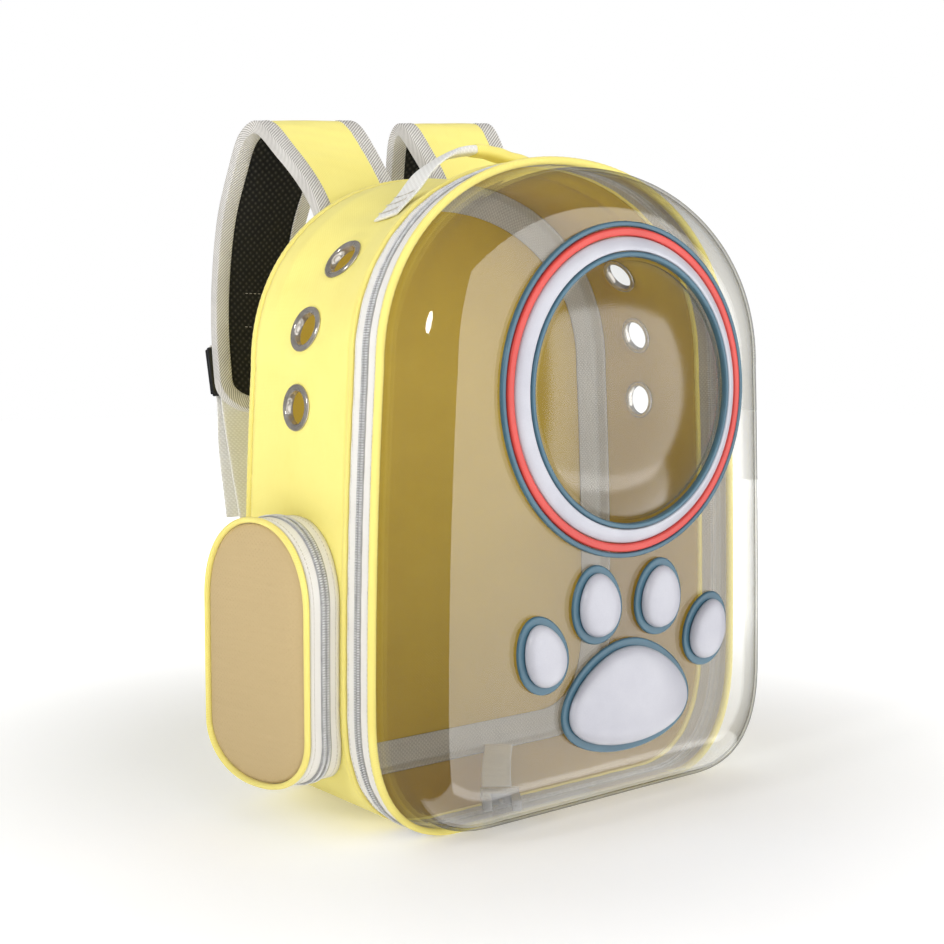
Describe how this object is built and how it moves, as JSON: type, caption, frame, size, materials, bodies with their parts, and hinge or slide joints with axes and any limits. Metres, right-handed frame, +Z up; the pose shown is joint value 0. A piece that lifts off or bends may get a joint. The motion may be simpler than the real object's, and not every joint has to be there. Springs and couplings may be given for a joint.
{
  "type": "bubble pet carrier backpack",
  "caption": "Standing pet carrier backpack with a clear moulded front, domed window, zipped cloth body with air eyelets, side pockets, padded straps and a grab handle.",
  "frame": {"origin": "on the floor under the middle of the carrier's bounding box", "axes": "+Z up, -Y out of the clear front, +Y towards the wearer's back, +X to the right when the front is looked at"},
  "size_m": [0.3884, 0.3818, 0.4725],
  "materials": {
    "yellow_cloth": "woven polyester, matt",
    "yellow_piping": "corded binding, matt",
    "white_tape": "woven tape, matt",
    "zip_coil": "moulded coil",
    "clear_shell": "clear moulded plastic, polished",
    "teal_trim": "moulded, glossy",
    "white_vinyl": "soft vinyl, satin",
    "red_trim": "moulded, glossy",
    "eyelet_metal": "dark plated steel, polished",
    "tan_cloth": "coarse woven cloth, matt",
    "black_mesh": "spacer mesh over foam",
    "black_plastic": "moulded, satin",
    "grey_webbing": "ribbed webbing",
    "grey_plastic": "moulded, smoky"
  },
  "bodies": {
    "root": {"clear_shell": "clear_shell", "window_dome": "clear_shell", "ring_bead_inner": "teal_trim", "window_ring": "white_vinyl", "ring_stripe": "red_trim", "ring_bead_outer": "teal_trim", "paw_edge": "teal_trim", "paw_pad": "white_vinyl", "toe_edge_1": "teal_trim", "toe_pad_1": "white_vinyl", "toe_edge_2": "teal_trim", "toe_pad_2": "white_vinyl", "toe_edge_3": "teal_trim", "toe_pad_3": "white_vinyl", "toe_edge_4": "teal_trim", "toe_pad_4": "white_vinyl", "front_piping": "yellow_piping", "front_tape": "white_tape", "rear_tape": "white_tape", "zip_coil": "zip_coil", "zip_slider": "eyelet_metal", "gusset_piping": "yellow_piping", "gusset": "yellow_cloth", "rear_piping": "yellow_piping", "back_panel": "yellow_cloth", "seam_tape": "grey_webbing", "grab_handle": "white_tape", "leash_webbing": "grey_webbing", "leash_clip": "grey_plastic", "eyelet_left_1": "eyelet_metal", "eyelet_left_2": "eyelet_metal", "eyelet_left_3": "eyelet_metal", "pocket_left_tape": "white_tape", "pocket_left_coil": "zip_coil", "pocket_left_piping": "yellow_piping", "pocket_left_face": "tan_cloth", "strap_left_pad": "black_mesh", "strap_left_cover": "yellow_cloth", "strap_left_binding": "white_tape", "ladder_lock_left": "black_plastic", "lock_tab_left": "white_tape", "webbing_left": "white_tape", "eyelet_right_1": "eyelet_metal", "eyelet_right_2": "eyelet_metal", "eyelet_right_3": "eyelet_metal", "pocket_right_tape": "white_tape", "pocket_right_coil": "zip_coil", "pocket_right_piping": "yellow_piping", "pocket_right_face": "tan_cloth", "strap_right_pad": "black_mesh", "strap_right_cover": "yellow_cloth", "strap_right_binding": "white_tape", "ladder_lock_right": "black_plastic", "lock_tab_right": "white_tape", "webbing_right": "white_tape"}
  },
  "joints": []
}
